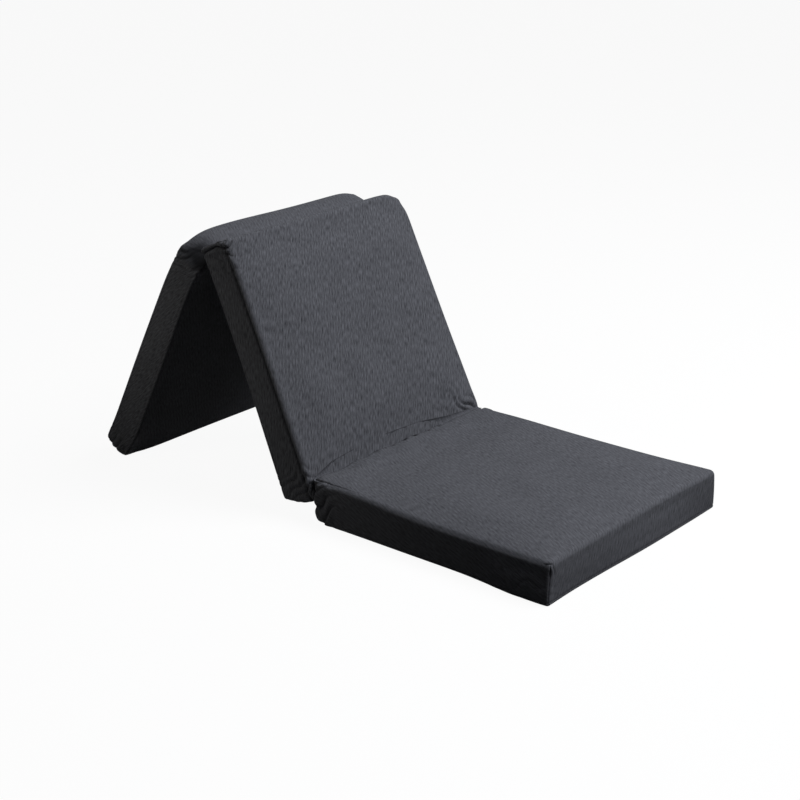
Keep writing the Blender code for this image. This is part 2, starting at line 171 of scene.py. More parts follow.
# A mesh object from an array of points and an array of quads
def meshObject(name, points, quads, smooth=True):
    mesh = bpy.data.meshes.new(name)
    mesh.vertices.add(len(points))
    mesh.vertices.foreach_set("co", np.asarray(points, np.float32).ravel())
    mesh.loops.add(quads.size)
    mesh.loops.foreach_set("vertex_index", quads.ravel().astype(np.int32))
    mesh.polygons.add(len(quads))
    mesh.polygons.foreach_set("loop_start", np.arange(0, quads.size, 4, dtype=np.int32))
    mesh.update(calc_edges=True)
    mesh.validate()
    if smooth:
        mesh.shade_smooth()
    made = bpy.data.objects.new(name, mesh)
    bpy.context.scene.collection.objects.link(made)
    return made


def meshPoints(mesh):
    places = np.empty(3 * len(mesh.vertices), np.float32)
    mesh.vertices.foreach_get("co", places)
    return places.reshape(-1, 3).astype(float)


# Stores an array of vectors on the points
def keepVector(mesh, name, values):
    attribute = mesh.attributes.new(name, "FLOAT_VECTOR", "POINT")
    attribute.data.foreach_set("vector", np.asarray(values, np.float32).ravel())


def readVector(mesh, name):
    values = np.empty(3 * len(mesh.vertices), np.float32)
    mesh.attributes[name].data.foreach_get("vector", values)
    return values.reshape(-1, 3).astype(float)


# Stores which side of its lattice each face belongs to
def keepSides(mesh, sides):
    side = mesh.attributes.new("side", "INT", "FACE")
    side.data.foreach_set("value", sides.astype(np.int32))


# Puts the evaluated mesh in the piece and drops its modifiers
def applyModifiers(piece):
    shape = bpy.data.meshes.new_from_object(piece.evaluated_get(bpy.context.evaluated_depsgraph_get()))
    piece.modifiers.clear()
    piece.data = shape
    shape.name = piece.name
    return piece


# One step of subdivision, applied
def refined(piece):
    finer = piece.modifiers.new("finer", "SUBSURF")
    finer.levels = 1
    finer.render_levels = 1
    return applyModifiers(piece)


# A plain box from low to high with soft edges: a point is clamped to the inner box, and its offset
# from there becomes an ellipsoid, with radius across sideways, growing from the hem's to the top's,
# and hem or top up. Gives places and normals.
def softBox(points, low, high, hemAcross, topAcross, hem, top):
    low, high = np.array(low), np.array(high)
    share = eased((points[:, 2] - low[2]) / (high[2] - low[2]))
    across = hemAcross + (topAcross - hemAcross) * share
    upRadius = np.where(share > 0.5, top, hem)
    radii = np.stack([across, across, upRadius], axis=1)
    inner = np.clip(points, low + radii, high - radii)
    offset = (points - inner) / radii
    offset = offset / np.maximum(np.linalg.norm(offset, axis=1, keepdims=True), 1e-9)
    normals = offset / radii
    return inner + offset * radii, normals / np.linalg.norm(normals, axis=1, keepdims=True)


# The plain rounded form of a section
def softSection(points):
    size = section
    half = 0.5 * size["width"]
    low, high = (0.0, -half, 0.0), (size["length"], half, size["height"])
    radii = [size[key] for key in ("hemAcross", "cornerRadius", "hemRadius", "topRadius")]
    return softBox(points, low, high, *radii)


# Adds each push, a vector, times exp(-sum(((rest - at) / spread)^2))
def pushed(points, rest, pushes):
    for at, spread, push in pushes:
        points = points + blob(rest, at, spread)[:, None] * np.array(push)
    return points


# Draws the near side and the free ends in between their corners, and raises the crown. Draw-in =
# drawIn (1 - bulgeShare sin(pi up)) sin(pi along), times a share that falls off inward as a power.
# Crown = crownRise times an eased rise from the ends and from the sides.
def stuffed(points, drawnEnds):
    size = section
    x, y, z = points.T
    along = np.clip(x / size["length"], 0.0, 1.0)
    across = np.clip(y / size["width"] + 0.5, 0.0, 1.0)
    up = np.clip(z / size["height"], 0.0, 1.0)
    draw = size["drawIn"] * (1.0 - size["bulgeShare"] * np.sin(math.pi * up))
    near = np.maximum(1.0 - 2.0 * across, 0.0) ** size["drawPower"]
    low = drawnEnds[0] * np.maximum(1.0 - 2.0 * along, 0.0) ** size["drawPower"]
    high = drawnEnds[1] * np.maximum(2.0 * along - 1.0, 0.0) ** size["drawPower"]
    foldMargin = size["crownFoldMargin"]
    fromEnd = np.minimum(
        x - (size["crownMargin"] if drawnEnds[0] else foldMargin),
        size["length"] - x - (size["crownMargin"] if drawnEnds[1] else foldMargin),
    )
    fromSide = 0.5 * size["width"] - np.abs(y) - size["crownMargin"]
    crown = size["crownRise"] * eased(fromEnd / size["crownRun"]) * eased(fromSide / size["crownRun"])
    return np.stack([
        x + draw * np.sin(math.pi * across) * (low - high),
        y + draw * np.sin(math.pi * along) * near,
        z + crown * eased(2.0 * up - 1.0),
    ], axis=1)


# origin + x along + y (0, 1, 0) + z up
def toWorld(points, place):
    origin, along, up = place
    acrossWay = np.array([0.0, 1.0, 0.0])
    return origin + points[:, :1] * along + points[:, 1:2] * acrossWay + points[:, 2:] * up


# Seams and broad waves of a section's cloth, in metres
coverSeams = {
    "flatTop": 0.02,         # the top is where the normal leans less than this
    "sideLean": (0.5, 0.4),  # the sides' seams fade in over this lean of the normal
    "hemUp": 0.0085,         # height of the hem's seam on the sides
    "hemDepth": 0.0009,
    "hemSpread": 0.0014,
    "edgeDown": 0.0125,      # the top panel's seam lies this far below the top
    "edgeDepth": {"front": 0.0002, "middle": 0.0030, "rear": 0.0012},
    "edgeSpread": 0.0030,
    "cornerDepth": 0.0010,
    "cornerSpread": 0.0016,
    "cornerReach": 0.02,     # the corner's seam stays this near its corner
    "waveHeight": 0.0011,
    "waveLength": 0.15,
    "waveRun": 0.08,         # the waves grow inward over this width
}

# Gathered cloth: place, spread, way across the folds, pitch and depth, in the section's frame
gatheredCloth = {
    "front": [
        ((-0.006, -0.300, 0.046), (0.046, 0.030, 0.036), (-0.70, 0.0, 1.0), 0.0270, 0.0090),
        ((0.000, -0.300, 0.090), (0.022, 0.022, 0.016), (1.0, 0.4, 0.6), 0.0240, 0.0014),
        ((0.640, -0.300, 0.086), (0.018, 0.018, 0.020), (0.8, -0.8, 0.3), 0.0150, 0.0050),
        ((0.560, -0.300, 0.030), (0.080, 0.030, 0.030), (-0.2, 0.0, 1.0), 0.0300, 0.0016),
        ((0.030, 0.080, 0.095), (0.030, 0.070, 0.020), (0.3, 1.0, 0.0), 0.0190, 0.0030),
    ],
    "middle": [
        ((0.588, 0.264, 0.092), (0.026, 0.034, 0.020), (0.80, -1.0, 0.0), 0.0240, 0.0085),
        ((0.560, 0.215, 0.092), (0.034, 0.045, 0.020), (0.70, -1.0, 0.0), 0.0290, 0.0034),
        ((0.600, -0.300, 0.060), (0.034, 0.030, 0.050), (1.0, 0.0, 0.5), 0.0180, 0.0060),
        ((0.013, -0.300, 0.050), (0.013, 0.022, 0.070), (1.0, 0.0, 0.1), 0.0280, 0.0130),
        ((0.060, -0.300, 0.060), (0.045, 0.030, 0.060), (1.0, 0.0, -0.9), 0.0300, 0.0030),
        ((0.025, -0.260, 0.092), (0.030, 0.050, 0.020), (0.6, 1.0, 0.0), 0.0260, 0.0030),
        ((0.560, -0.100, 0.092), (0.060, 0.160, 0.020), (0.2, 1.0, 0.0), 0.0340, 0.0012),
    ],
    "rear": [
        ((0.620, -0.300, 0.050), (0.040, 0.030, 0.060), (1.0, 0.0, 0.6), 0.0240, 0.0040),
        ((0.010, -0.300, 0.040), (0.030, 0.040, 0.050), (0.5, 0.5, 1.0), 0.0260, 0.0050),
    ],
}

# Where a cover is slack or fuller than its block: place, spread and push in the section's frame
slackEnd = 0.0264        # the middle cover's top end sits this much lower than its block
coverPushes = {
    "front": [
        ((0.64, 0.30, 0.05), (0.10, 0.12, 0.30), (0.009, 0.007, 0.001)),
        ((0.64, 0.06, 0.0), (0.06, 0.18, 0.040), (0.009, 0.0, 0.0)),
        ((0.64, 0.30, 0.0), (0.06, 0.08, 0.040), (-0.004, 0.0, 0.0)),
        ((0.56, -0.30, 0.0), (0.10, 0.08, 0.060), (0.0, -0.013, 0.0)),
        ((0.64, -0.30, 0.0), (0.05, 0.05, 0.060), (0.002, -0.004, 0.0)),
        ((0.30, 0.30, 0.092), (0.40, 0.06, 0.060), (0.0, 0.006, 0.003)),
        ((0.04, 0.30, 0.092), (0.18, 0.08, 0.060), (0.0, 0.006, 0.005)),
        ((0.35, -0.30, 0.0), (0.30, 0.06, 0.050), (0.0, -0.004, 0.0)),
        ((-0.018, 0.30, 0.092), (0.030, 0.03, 0.03), (0.0, 0.0, 0.0025)),
        ((0.05, -0.30, 0.092), (0.17, 0.055, 0.060), (0.0, 0.003, 0.010)),
        ((0.42, -0.305, 0.092), (0.30, 0.024, 0.045), (0.0, 0.002, -0.006)),
    ],
    "middle": [
        ((0.0, 0.0, 0.046), (0.10, 2.0, 0.5), (slackEnd, 0.0, 0.0)),
        ((0.0, 0.30, 0.080), (0.05, 0.04, 0.10), (0.016, -0.010, -0.004)),
        ((0.05, 0.30, 0.080), (0.22, 0.06, 0.10), (0.0, -0.008, 0.0)),
        ((0.62, 0.30, 0.092), (0.20, 0.08, 0.08), (0.0, 0.010, 0.002)),
        ((0.64, -0.30, 0.0), (0.30, 0.20, 0.050), (0.0, 0.0, -0.011)),
        ((0.64, -0.30, 0.070), (0.05, 0.16, 0.040), (0.010, 0.0, 0.0)),
        ((0.64, -0.30, 0.0), (0.03, 0.10, 0.025), (-0.009, 0.0, 0.0)),
    ],
    "rear": [
        ((0.64, 0.0, 0.092), (0.26, 2.0, 0.06), (0.0, 0.0, -0.010)),
        ((0.66, -0.31, 0.060), (0.08, 0.060, 0.14), (-0.021, 0.004, -0.009)),
        ((0.66, -0.14, 0.060), (0.07, 0.150, 0.20), (0.005, 0.0, 0.002)),
        ((0.67, -0.30, 0.010), (0.022, 0.040, 0.060), (0.0, 0.030, 0.0)),
        ((0.66, 0.31, 0.060), (0.06, 0.045, 0.14), (-0.016, -0.004, -0.003)),
        ((0.0, -0.30, 0.070), (0.05, 0.12, 0.040), (-0.012, -0.003, 0.002)),
        ((0.0, -0.30, 0.0), (0.05, 0.06, 0.035), (-0.007, 0.0, 0.013)),
        ((0.0, -0.30, 0.035), (0.04, 0.08, 0.030), (-0.007, 0.0, 0.0)),
    ],
}


# Form of a gather's folds: how sharp its valleys are, its mean level, and how its rows wander
gatherForm = {"sharp": 0.8, "level": 0.5, "wander": 0.35, "wanderLength": 0.06, "waves": 5}


# Sum over the folds of depth (|sin(pi (way.offset / pitch + wander))|^sharp - level), each times
# exp(-sum((offset / spread)^2)): round crests with sharp valleys, which fade out
def gathered(rest, folds, seed):
    form = gatherForm
    lift = np.zeros(len(rest))
    drift = ripple(rest[:, 0], rest[:, 1] + rest[:, 2], form["wanderLength"], seed, form["waves"])
    wander = form["wander"] * drift
    for at, spread, way, pitch, depth in folds:
        way = np.array(way) / np.linalg.norm(way)
        crest = np.abs(np.sin(math.pi * ((rest - np.array(at)) @ way / pitch + wander)))
        lift += depth * blob(rest, at, spread) * (crest ** form["sharp"] - form["level"])
    return lift


# How far the cloth stands out from the stuffed form along its normal: broad waves on the top,
# grooves where panels are sewn together and the gathered folds. Each groove is
# -depth exp(-(distance / spread)^2).
# its second value, the grooves and folds alone, becomes painted shade in the colour
def coverOffset(rest, normals, name, seed):
    seams, size = coverSeams, section
    x, y, z = rest.T
    flat = np.hypot(normals[:, 0], normals[:, 1])
    inward = np.minimum(np.minimum(x, size["length"] - x), 0.5 * size["width"] - np.abs(y))
    onTop = np.where((z > 0.5 * size["height"]) & (flat < seams["flatTop"]), 1.0, 0.0)
    leanFrom, leanRun = seams["sideLean"]
    onSide = eased((flat - leanFrom) / leanRun)
    hem = -seams["hemDepth"] * bump(z, seams["hemUp"], seams["hemSpread"])
    edge = -seams["edgeDepth"][name] * bump(z, size["height"] - seams["edgeDown"], seams["edgeSpread"])
    fromX = np.minimum(x, size["length"] - x)
    fromY = 0.5 * size["width"] - np.abs(y)
    nearCorner = fromX + fromY < seams["cornerReach"]
    corner = -seams["cornerDepth"] * bump(fromX - fromY, 0.0, seams["cornerSpread"]) * nearCorner
    waves = seams["waveHeight"] * ripple(x, y, seams["waveLength"], seed) * onTop
    waves = waves * eased(inward / seams["waveRun"])
    folded = (hem + edge + corner) * onSide + gathered(rest, gatheredCloth[name], seed)
    return folded + waves, folded


fullPaintedShade = 0.004           # a crease as deep as this gets the darkest painted shade


# Keeps how deep the cloth lies in a crease, -offset over the darkest crease's depth, from 0 to 1, as
# painted shade for the cloth's colour
def keepPaintedShade(mesh, offset):
    paintedCreaseShade = mesh.attributes.new("paintedCreaseShade", "FLOAT", "POINT")
    paintedCreaseShade.data.foreach_set("value", np.clip(-offset / fullPaintedShade, 0.0, 1.0).astype(np.float32))


# The zip's slot in the far side, in the section's frame
zipSlot = {
    "up": 0.0297,
    "halfHeight": 0.0150,
    "halfLength": 0.2215,
    "depth": 0.0030,
    "soft": 0.0012,          # width of the step at its borders
    "wall": 0.001,           # only cloth this near the far side is set back
}


# Sets the far side back over the zip's slot, by depth times an eased step at each border
def recessed(points, rest):
    slot = zipSlot
    over = rest[:, 1] > 0.5 * section["width"] - slot["wall"]
    fromEnd = slot["halfLength"] - np.abs(rest[:, 0] - 0.5 * section["length"])
    fromEdge = slot["halfHeight"] - np.abs(rest[:, 2] - slot["up"])
    share = over * eased(fromEnd / slot["soft"] + 0.5) * eased(fromEdge / slot["soft"] + 0.5)
    floor = 0.5 * section["width"] - slot["depth"]
    points = points.copy()
    points[:, 1] += share * (floor - points[:, 1])
    return points


# Cloth simulation of a cover: how it is held to its block, how much slack cloth it has and where,
# and how far a point may move
clothRun = {
    "frames": 12,
    "cloth": {
        "quality": 3,
        "mass": 0.25,
        "tension_stiffness": 20.0,
        "compression_stiffness": 12.0,
        "shear_stiffness": 6.0,
        "bending_stiffness": 0.25,
        "use_pressure": True,
        "uniform_pressure_force": 4.0,
        "pin_stiffness": 1.0,
    },
    "seamHold": 0.95,
    "faceHold": 0.16,
    "holdFrom": 0.006,       # the hold falls from this distance to an edge
    "holdRun": 0.030,
    "loosened": 0.85,        # share of the hold that slack cloth loses
    "steps": 20,             # weights are stored in this many steps
    "slack": -0.035,
    "slackAll": 0.10,
    "cap": 0.006,
    "slackPlaces": {
        "front": [
            ((0.0, -0.30, 0.05), (0.07, 0.05, 0.08)),
            ((0.02, 0.0, 0.092), (0.05, 0.22, 0.03)),
            ((0.64, -0.30, 0.08), (0.04, 0.04, 0.05)),
        ],
        "middle": [
            ((0.62, 0.24, 0.092), (0.07, 0.07, 0.04)),
            ((0.64, -0.30, 0.05), (0.06, 0.05, 0.08)),
            ((0.03, -0.30, 0.05), (0.07, 0.05, 0.08)),
        ],
        "rear": [
            ((0.62, -0.30, 0.05), (0.07, 0.05, 0.08)),
            ((0.0, -0.30, 0.05), (0.04, 0.06, 0.08)),
            ((0.62, 0.0, 0.092), (0.06, 0.3, 0.03)),
        ],
    },
}


# Swells the cover with Blender's Cloth. Its hold falls from the edges to the faces by an eased step,
# and its slack is slackAll plus the sum of exp(-sum((offset / spread)^2)) over the slack places. A
# point moves by the simulation's way, no further than the cap.
def settled(cover, rest, name):
    run, half = clothRun, 0.5 * section["width"]
    toEdge = np.sort(np.stack([
        np.minimum(rest[:, 0], section["length"] - rest[:, 0]), half - np.abs(rest[:, 1]),
        np.minimum(rest[:, 2], section["height"] - rest[:, 2]),
    ], axis=1), axis=1)[:, 1]
    free = eased((toEdge - run["holdFrom"]) / run["holdRun"])
    hold = run["faceHold"] + (run["seamHold"] - run["faceHold"]) * (1.0 - free)
    slack = np.full(len(rest), run["slackAll"])
    for at, spread in run["slackPlaces"][name]:
        slack += blob(rest, at, spread)
    slack = np.clip(slack, 0.0, 1.0)
    hold = hold * (1.0 - run["loosened"] * np.clip(slack - run["slackAll"], 0.0, 1.0))
    for label, weights in (("hold", hold), ("slack", slack)):
        group = cover.vertex_groups.new(name=label)
        for step in range(run["steps"] + 1):
            chosen = np.nonzero(np.round(weights * run["steps"]).astype(int) == step)[0]
            group.add(chosen.tolist(), step / run["steps"], "REPLACE")
    start = meshPoints(cover.data)
    cloth = cover.modifiers.new("cloth", "CLOTH")
    settings = cloth.settings
    for key, value in run["cloth"].items():
        setattr(settings, key, value)
    settings.vertex_group_mass = "hold"
    settings.vertex_group_shrink = "slack"
    settings.shrink_min = 0.0
    settings.shrink_max = run["slack"]
    settings.effector_weights.gravity = 0.0
    scene = bpy.context.scene
    for number in range(1, run["frames"] + 1):
        scene.frame_set(number)
    swollen = cover.evaluated_get(bpy.context.evaluated_depsgraph_get())
    moved = meshPoints(swollen.data) - start
    cover.modifiers.remove(cloth)
    scene.frame_set(1)
    length = np.linalg.norm(moved, axis=1, keepdims=True)
    travel = [round(1000.0 * float(value), 2) for value in (length.mean(), length.max())]
    print(name, "cloth settled: moved", travel[0], "mm on average,", travel[1], "mm at most")
    moved *= np.minimum(1.0, run["cap"] / np.maximum(length, 1e-9))
    cover.data.vertices.foreach_set("co", (start + moved).astype(np.float32).ravel())
    cover.data.update()
    cover.vertex_groups.clear()


# Steps of a cover's lattice: at its ends, in its middle, and the run between
coverSteps = (0.0028, 0.008, 0.10)
coverUpSteps = (0.0026, 0.004, 0.03)


# One section's sewn cover as a closed cushion: a box lattice, rounded and stuffed, pushed, swollen by
# the cloth run, subdivided, and moved along its normals by coverOffset
def makeCover(name, drawnEnds, seed):
    size = section
    half = 0.5 * size["width"]
    xs = spacedPlaces(0.0, size["length"], *coverSteps)
    ys = spacedPlaces(-half, half, *coverSteps)
    zs = spacedPlaces(0.0, size["height"], *coverUpSteps)
    points, quads, sides = boxLattice(xs, ys, zs)
    places = softSection(points)[0]
    places = pushed(stuffed(places, drawnEnds), points, coverPushes[name])
    cover = meshObject(name + "_section_cover", places, quads)
    mesh = cover.data
    keepVector(mesh, "restPlace", points)
    keepSides(mesh, sides)
    settled(cover, points, name)
    mesh = refined(cover).data
    rest = readVector(mesh, "restPlace")
    normals = softSection(rest)[1]
    offset, folded = coverOffset(rest, normals, name, seed)
    places = recessed(meshPoints(mesh) + offset[:, None] * normals, rest)
    world = toWorld(places, sectionPlace(name))
    world[:, 2] = np.maximum(world[:, 2], 0.0)
    mesh.vertices.foreach_set("co", world.astype(np.float32).ravel())
    # the grooves' and folds' depth is painted as shade in the cover's colour
    keepPaintedShade(mesh, folded)
    clothUv(mesh, rest)
    mesh.update()
    return cover


# The point of each face corner
def cornerPoints(mesh):
    corners = np.empty(len(mesh.loops), np.int32)
    mesh.loops.foreach_get("vertex_index", corners)
    return corners


def keepUv(mesh, u, v):
    layer = mesh.uv_layers.new(name="weave")
    layer.data.foreach_set("uv", np.stack([u, v], axis=1).astype(np.float32).ravel())


# U across the rows of the weave and V along them, in metres, unrolled over the ends. On the top and
# the ends U is y; on the two long sides U is z and V is x.
def clothUv(mesh, rest):
    corners = cornerPoints(mesh)
    totals = np.empty(len(mesh.polygons), np.int32)
    mesh.polygons.foreach_get("loop_total", totals)
    side = np.empty(len(mesh.polygons), np.int32)
    mesh.attributes["side"].data.foreach_get("value", side)
    face = np.repeat(side, totals)
    x, y, z = rest[corners].T
    u = np.select([face == 2, face == 3], [z - 1.0, 1.0 - z], y)
    v = np.select(
        [face == 1, face == 4, face == 5],
        [x + 2.0, z - section["height"], section["length"] + section["height"] - z], x,
    )
    keepUv(mesh, u, v)
    mesh.polygons.foreach_set("material_index", np.where(side == 1, 1, 0).astype(np.int32))


# Cloth finishes: colour is linear RGB
coverCloth = {
    "colour": (0.089, 0.091, 0.102),
    "roughness": 0.86,
    "specular": 0.05,
    "ribPitch": 0.0024,
    "crossPitch": 0.0012,
    "ribShare": 0.08,
    "bandPitch": 0.0088,     # threads bunch in faint bands
    "bandShare": 0.075,
    "bandWander": 10.0,
    "twill": math.radians(22.5),
    "dashScale": (400.0, 62.0),
    "dashShare": 0.62,
    "grainScale": (460.0, 460.0),
    "grainShare": 0.22,
    "mottleScale": (16.0, 16.0),
    "mottleShare": 0.12,
    # how dark the painted shade in creases gets
    "paintedShadeShare": 0.85,
    "crossRelief": 0.5,      # cross threads stand this much as high as the ribs
    "relief": (0.35, 0.0004),
}


def addNode(tree, kind, **values):
    node = tree.nodes.new(kind)
    for key, value in values.items():
        setattr(node, key, value)
    return node


def mathNode(tree, operation, first, second=None):
    node = addNode(tree, "ShaderNodeMath", operation=operation)
    for index, value in enumerate((first, second)):
        if value is None:
            continue
        if isinstance(value, (int, float)):
            node.inputs[index].default_value = value
        else:
            tree.links.new(value, node.inputs[index])
    return node.outputs[0]


# sin(2 pi place / pitch + shift)
def rows(tree, place, pitch, shift=None):
    turn = mathNode(tree, "MULTIPLY", place, 2.0 * math.pi / pitch)
    return mathNode(tree, "SINE", turn if shift is None else mathNode(tree, "ADD", turn, shift))


def addRelief(tree, shader, height, strength, distance):
    relief = addNode(tree, "ShaderNodeBump")
    relief.inputs["Strength"].default_value = strength
    relief.inputs["Distance"].default_value = distance
    tree.links.new(height, relief.inputs["Height"])
    tree.links.new(relief.outputs[0], shader.inputs["Normal"])


# Noise over the cloth, scaled separately across and along the rows, as a shift about zero
def yarnNoise(tree, u, v, across, along, detail, share):
    stretch = addNode(tree, "ShaderNodeCombineXYZ")
    tree.links.new(mathNode(tree, "MULTIPLY", u, across), stretch.inputs[0])
    tree.links.new(mathNode(tree, "MULTIPLY", v, along), stretch.inputs[1])
    noise = addNode(tree, "ShaderNodeTexNoise")
    noise.inputs["Scale"].default_value = 1.0
    noise.inputs["Detail"].default_value = detail
    tree.links.new(stretch.outputs[0], noise.inputs["Vector"])
    return mathNode(tree, "MULTIPLY", mathNode(tree, "SUBTRACT", noise.outputs[0], 0.5), 2.0 * share)


# Ribbed cloth: rows across U as a sine in the bump, finer cross threads along V, and in the colour
# 1 + yarn dashes + grain + mottle + a little of the rows, times painted shade in creases
def weaveMaterial(name, cloth, uv="weave"):
    material = bpy.data.materials.new(name)
    material.use_nodes = True
    tree = material.node_tree
    shader = tree.nodes["Principled BSDF"]
    shader.inputs["Roughness"].default_value = cloth["roughness"]
    shader.inputs["Specular IOR Level"].default_value = cloth["specular"]
    place = addNode(tree, "ShaderNodeUVMap", uv_map=uv)
    turned = addNode(tree, "ShaderNodeMapping")
    turned.inputs["Rotation"].default_value = (0.0, 0.0, -cloth["twill"])
    tree.links.new(place.outputs[0], turned.inputs[0])
    parts = addNode(tree, "ShaderNodeSeparateXYZ")
    tree.links.new(turned.outputs[0], parts.inputs[0])
    u, v = parts.outputs[0], parts.outputs[1]
    rib = rows(tree, u, cloth["ribPitch"])
    cross = rows(tree, v, cloth["crossPitch"])
    dash = yarnNoise(tree, u, v, *cloth["dashScale"], 1.0, cloth["dashShare"])
    grain = yarnNoise(tree, u, v, *cloth["grainScale"], 1.0, cloth["grainShare"])
    mottle = yarnNoise(tree, u, v, *cloth["mottleScale"], 3.0, cloth["mottleShare"])    # three octaves
    level = mathNode(tree, "ADD", mathNode(tree, "ADD", dash, grain), mathNode(tree, "ADD", mottle, 1.0))
    level = mathNode(tree, "ADD", level, mathNode(tree, "MULTIPLY", rib, cloth["ribShare"]))
    band = rows(tree, u, cloth["bandPitch"], mathNode(tree, "MULTIPLY", mottle, cloth["bandWander"]))
    level = mathNode(tree, "ADD", level, mathNode(tree, "MULTIPLY", band, cloth["bandShare"]))
    # painted shade: the colour darkens by the crease depth stored on the mesh
    paintedCreaseShade = addNode(tree, "ShaderNodeAttribute", attribute_name="paintedCreaseShade")
    shade = mathNode(tree, "MULTIPLY", paintedCreaseShade.outputs["Fac"], cloth["paintedShadeShare"])
    level = mathNode(tree, "MULTIPLY", level, mathNode(tree, "SUBTRACT", 1.0, shade))
    colour = addNode(tree, "ShaderNodeMix", data_type="RGBA", blend_type="MULTIPLY")
    colour.inputs["Factor"].default_value = 1.0
    colour.inputs["A"].default_value = (*cloth["colour"], 1.0)
    grey = addNode(tree, "ShaderNodeCombineColor")
    for socket in grey.inputs[:3]:
        tree.links.new(level, socket)
    tree.links.new(grey.outputs[0], colour.inputs["B"])
    tree.links.new(colour.outputs["Result"], shader.inputs["Base Color"])
    threads = mathNode(tree, "ADD", rib, mathNode(tree, "MULTIPLY", cross, cloth["crossRelief"]))
    addRelief(tree, shader, threads, *cloth["relief"])
    return material


coverMaterial = weaveMaterial("coverCloth", coverCloth)
grazeShadedMaterial = weaveMaterial("grazeShadedCloth", {**coverCloth, "dashShare": 0.95})     # yarn dashes painted stronger, as painted shading where light grazes the raised sections
undersideMaterial = weaveMaterial("undersideCloth", {**coverCloth, "colour": (0.075, 0.077, 0.085)})

drawnEnds = {"front": (0.0, 1.0), "middle": (0.0, 0.0), "rear": (1.0, 0.0)}
pressed = {"front": 0.93, "middle": 0.93}      # share of their thickness kept, folded together
for seed, (name, ends) in enumerate(drawnEnds.items()):
    cover = makeCover(name, ends, 1.0 + 2.0 * seed)
    # the middle and rear covers take the copy with painted grazing-light shading
    cover.data.materials.append(coverMaterial if name == "front" else grazeShadedMaterial)
    cover.data.materials.append(undersideMaterial)
    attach(cover, name)
    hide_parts(name + "_cover", name + "_cover_base", name + "_foam_core")
    if name in pressed:
        origin, along, up = sectionPlace(name)
        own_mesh(cover)
print("covers made")

# Soft swell of cloth and foam that closes the wedge beside a fold.
# Tuck shade: place, spread and depth of shade painted into the colour at its near corner, where the
# cloth tucks in.
swells = {
    "front": {
        "joint": "front_fold", "end": 0.0, "thick": 0.028, "low": 0.001, "high": 0.0915,
        "lean": (0.80, 0.80), "paintedTuckShade": ((-0.028, -0.300, 0.085), (0.02, 0.02, 0.02), 0.003),
    },
    "rear": {
        "joint": "ridge_fold", "end": 0.640, "thick": 0.026, "low": 0.001, "high": 0.0900,
        "lean": (1.15, 0.75), "paintedTuckShade": ((0.664, -0.310, 0.032), (0.032, 0.048, 0.052), 0.0058),
    },
}
swellForm = {
    "reach": 0.034,          # a swell reaches this far over its section's end
    "wider": 0.0008,         # and stands this far out of its sides
    "radii": (0.012, 0.010, 0.014, 0.008),
    "columns": 26,
    "rows": 33,
    "steps": (0.0028, 0.006, 0.05),
    "belly": 0.20,
    "narrowed": 0.020,       # its inner end is narrower by this share
    "sunkLow": 0.006,        # and lifted below and lowered on top, into the cover
    "sunkSpan": 0.012,
}


# A pad round a section's end: a soft box whose reach past the end is thick times
# lean(up) + belly sin(pi up), and which sinks into the cover at its inner end by an eased step, with
# the cover's own pushes and gathers
def makeSwell(name, facts, seed):
    form, end, thick = swellForm, facts["end"], facts["thick"]
    half = 0.5 * section["width"] + form["wider"]
    away = -1.0 if end == 0.0 else 1.0
    root, tip = end - away * form["reach"], end + away * thick
    low = (min(root, tip), -half, facts["low"])
    high = (max(root, tip), half, facts["high"])
    xs = np.linspace(low[0], high[0], form["columns"])
    ys = spacedPlaces(-half, half, *form["steps"])
    zs = np.linspace(low[2], high[2], form["rows"])
    points, quads, sides = boxLattice(xs, ys, zs)
    places, normals = softBox(points, low, high, *form["radii"])
    out = np.clip(away * (places[:, 0] - end) / thick, 0.0, 1.0)
    up = (places[:, 2] - low[2]) / (high[2] - low[2])
    leanLow, leanHigh = facts["lean"]
    belly = leanLow + (leanHigh - leanLow) * up + form["belly"] * np.sin(math.pi * up)
    places[:, 0] = np.where(out > 0.0, end + away * out * thick * belly, places[:, 0])
    sunk = eased(-away * (places[:, 0] - end) / form["reach"])
    places[:, 1] *= 1.0 - form["narrowed"] * sunk
    places[:, 2] += sunk * (form["sunkLow"] - form["sunkSpan"] * up)
    places = pushed(places, points, coverPushes[name])
    offset = gathered(points, gatheredCloth[name], seed)
    places = places + offset[:, None] * normals
    world = toWorld(places, sectionPlace(name))
    world[:, 2] = np.maximum(world[:, 2], 0.0)
    swell = meshObject(name + "_end_swell", world, quads)
    # painted shade: the tuck darkens the colour at the near corner, on top of the gathers' depth
    at, spread, depth = facts["paintedTuckShade"]
    keepPaintedShade(swell.data, offset - depth * blob(points, at, spread))
    keepSides(swell.data, np.where(sides == 1, 0, sides))
    clothUv(swell.data, points)
    swell.data.materials.append(coverMaterial)
    swell = refined(swell)
    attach(swell, name)
    origin, along, up = sectionPlace(name)
    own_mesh(swell)


for seed, (name, facts) in enumerate(swells.items()):
    makeSwell(name, facts, 1.0 + 4.0 * seed)
print("swells made")

